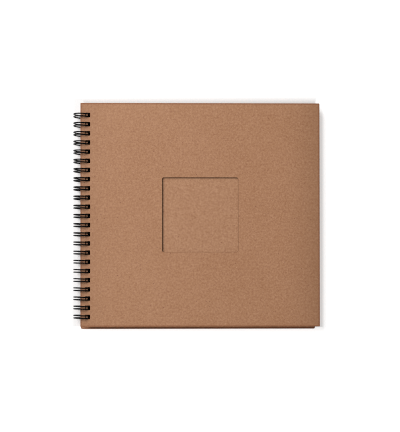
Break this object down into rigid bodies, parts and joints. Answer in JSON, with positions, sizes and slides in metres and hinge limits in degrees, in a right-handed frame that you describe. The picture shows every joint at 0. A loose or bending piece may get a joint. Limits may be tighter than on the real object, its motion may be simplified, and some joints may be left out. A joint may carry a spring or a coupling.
{
  "type": "wire-bound sketchbook",
  "caption": "Almost square sketchbook with kraft board covers, a square window in the front cover, loose kraft leaves and a black twin-loop wire binding.",
  "frame": {"origin": "under the middle of the closed book's box, on the surface it lies on", "axes": "+X from the wire binding to the fore-edge, +Y to the head of the book, +Z out of the front cover"},
  "size_m": [0.228, 0.209, 0.0164],
  "materials": {
    "kraft_board": "matt uncoated kraft board with fine fibre flecks, 1.5 mm",
    "kraft_card": "matt uncoated kraft card with fine fibre flecks",
    "enamelled_wire": "gloss black enamel on 1.2 mm steel wire"
  },
  "bodies": {
    "binding": {"twin_loop_wire": "enamelled_wire", "back_cover": "kraft_board"},
    "leaf_20_body": {"leaf_20": "kraft_card"},
    "leaf_19_body": {"leaf_19": "kraft_card"},
    "leaf_18_body": {"leaf_18": "kraft_card"},
    "leaf_17_body": {"leaf_17": "kraft_card"},
    "leaf_16_body": {"leaf_16": "kraft_card"},
    "leaf_15_body": {"leaf_15": "kraft_card"},
    "leaf_14_body": {"leaf_14": "kraft_card"},
    "leaf_13_body": {"leaf_13": "kraft_card"},
    "leaf_12_body": {"leaf_12": "kraft_card"},
    "leaf_11_body": {"leaf_11": "kraft_card"},
    "leaf_10_body": {"leaf_10": "kraft_card"},
    "leaf_09_body": {"leaf_09": "kraft_card"},
    "leaf_08_body": {"leaf_08": "kraft_card"},
    "leaf_07_body": {"leaf_07": "kraft_card"},
    "leaf_06_body": {"leaf_06": "kraft_card"},
    "leaf_05_body": {"leaf_05": "kraft_card"},
    "leaf_04_body": {"leaf_04": "kraft_card"},
    "leaf_03_body": {"leaf_03": "kraft_card"},
    "leaf_02_body": {"leaf_02": "kraft_card"},
    "leaf_01_body": {"leaf_01": "kraft_card"},
    "front_cover_body": {"front_cover": "kraft_board"}
  },
  "joints": [
    {"name": "turn_leaf_20", "type": "hinge", "parent": "binding", "child": "leaf_20_body", "pos_m": [-0.10581, 0.00015, 0.00818], "axis": [0, -1, 0], "range_deg": [0, 180]},
    {"name": "turn_leaf_19", "type": "hinge", "parent": "leaf_20_body", "child": "leaf_19_body", "pos_m": [-0.10581, 0.00015, 0.00818], "axis": [0, -1, 0], "range_deg": [0, 180]},
    {"name": "turn_leaf_18", "type": "hinge", "parent": "leaf_19_body", "child": "leaf_18_body", "pos_m": [-0.10581, 0.00015, 0.00818], "axis": [0, -1, 0], "range_deg": [0, 180]},
    {"name": "turn_leaf_17", "type": "hinge", "parent": "leaf_18_body", "child": "leaf_17_body", "pos_m": [-0.10581, 0.00015, 0.00818], "axis": [0, -1, 0], "range_deg": [0, 180]},
    {"name": "turn_leaf_16", "type": "hinge", "parent": "leaf_17_body", "child": "leaf_16_body", "pos_m": [-0.10581, 0.00015, 0.00818], "axis": [0, -1, 0], "range_deg": [0, 180]},
    {"name": "turn_leaf_15", "type": "hinge", "parent": "leaf_16_body", "child": "leaf_15_body", "pos_m": [-0.10581, 0.00015, 0.00818], "axis": [0, -1, 0], "range_deg": [0, 180]},
    {"name": "turn_leaf_14", "type": "hinge", "parent": "leaf_15_body", "child": "leaf_14_body", "pos_m": [-0.10581, 0.00015, 0.00818], "axis": [0, -1, 0], "range_deg": [0, 180]},
    {"name": "turn_leaf_13", "type": "hinge", "parent": "leaf_14_body", "child": "leaf_13_body", "pos_m": [-0.10581, 0.00015, 0.00818], "axis": [0, -1, 0], "range_deg": [0, 180]},
    {"name": "turn_leaf_12", "type": "hinge", "parent": "leaf_13_body", "child": "leaf_12_body", "pos_m": [-0.10581, 0.00015, 0.00818], "axis": [0, -1, 0], "range_deg": [0, 180]},
    {"name": "turn_leaf_11", "type": "hinge", "parent": "leaf_12_body", "child": "leaf_11_body", "pos_m": [-0.10581, 0.00015, 0.00818], "axis": [0, -1, 0], "range_deg": [0, 180]},
    {"name": "turn_leaf_10", "type": "hinge", "parent": "leaf_11_body", "child": "leaf_10_body", "pos_m": [-0.10581, 0.00015, 0.00818], "axis": [0, -1, 0], "range_deg": [0, 180]},
    {"name": "turn_leaf_09", "type": "hinge", "parent": "leaf_10_body", "child": "leaf_09_body", "pos_m": [-0.10581, 0.00015, 0.00818], "axis": [0, -1, 0], "range_deg": [0, 180]},
    {"name": "turn_leaf_08", "type": "hinge", "parent": "leaf_09_body", "child": "leaf_08_body", "pos_m": [-0.10581, 0.00015, 0.00818], "axis": [0, -1, 0], "range_deg": [0, 180]},
    {"name": "turn_leaf_07", "type": "hinge", "parent": "leaf_08_body", "child": "leaf_07_body", "pos_m": [-0.10581, 0.00015, 0.00818], "axis": [0, -1, 0], "range_deg": [0, 180]},
    {"name": "turn_leaf_06", "type": "hinge", "parent": "leaf_07_body", "child": "leaf_06_body", "pos_m": [-0.10581, 0.00015, 0.00818], "axis": [0, -1, 0], "range_deg": [0, 180]},
    {"name": "turn_leaf_05", "type": "hinge", "parent": "leaf_06_body", "child": "leaf_05_body", "pos_m": [-0.10581, 0.00015, 0.00818], "axis": [0, -1, 0], "range_deg": [0, 180]},
    {"name": "turn_leaf_04", "type": "hinge", "parent": "leaf_05_body", "child": "leaf_04_body", "pos_m": [-0.10581, 0.00015, 0.00818], "axis": [0, -1, 0], "range_deg": [0, 180]},
    {"name": "turn_leaf_03", "type": "hinge", "parent": "leaf_04_body", "child": "leaf_03_body", "pos_m": [-0.10581, 0.00015, 0.00818], "axis": [0, -1, 0], "range_deg": [0, 180]},
    {"name": "turn_leaf_02", "type": "hinge", "parent": "leaf_03_body", "child": "leaf_02_body", "pos_m": [-0.10581, 0.00015, 0.00818], "axis": [0, -1, 0], "range_deg": [0, 180]},
    {"name": "turn_leaf_01", "type": "hinge", "parent": "leaf_02_body", "child": "leaf_01_body", "pos_m": [-0.10581, 0.00015, 0.00818], "axis": [0, -1, 0], "range_deg": [0, 180]},
    {"name": "open_front_cover", "type": "hinge", "parent": "leaf_01_body", "child": "front_cover_body", "pos_m": [-0.10581, 0.00015, 0.00818], "axis": [0, -1, 0], "range_deg": [0, 180]}
  ]
}
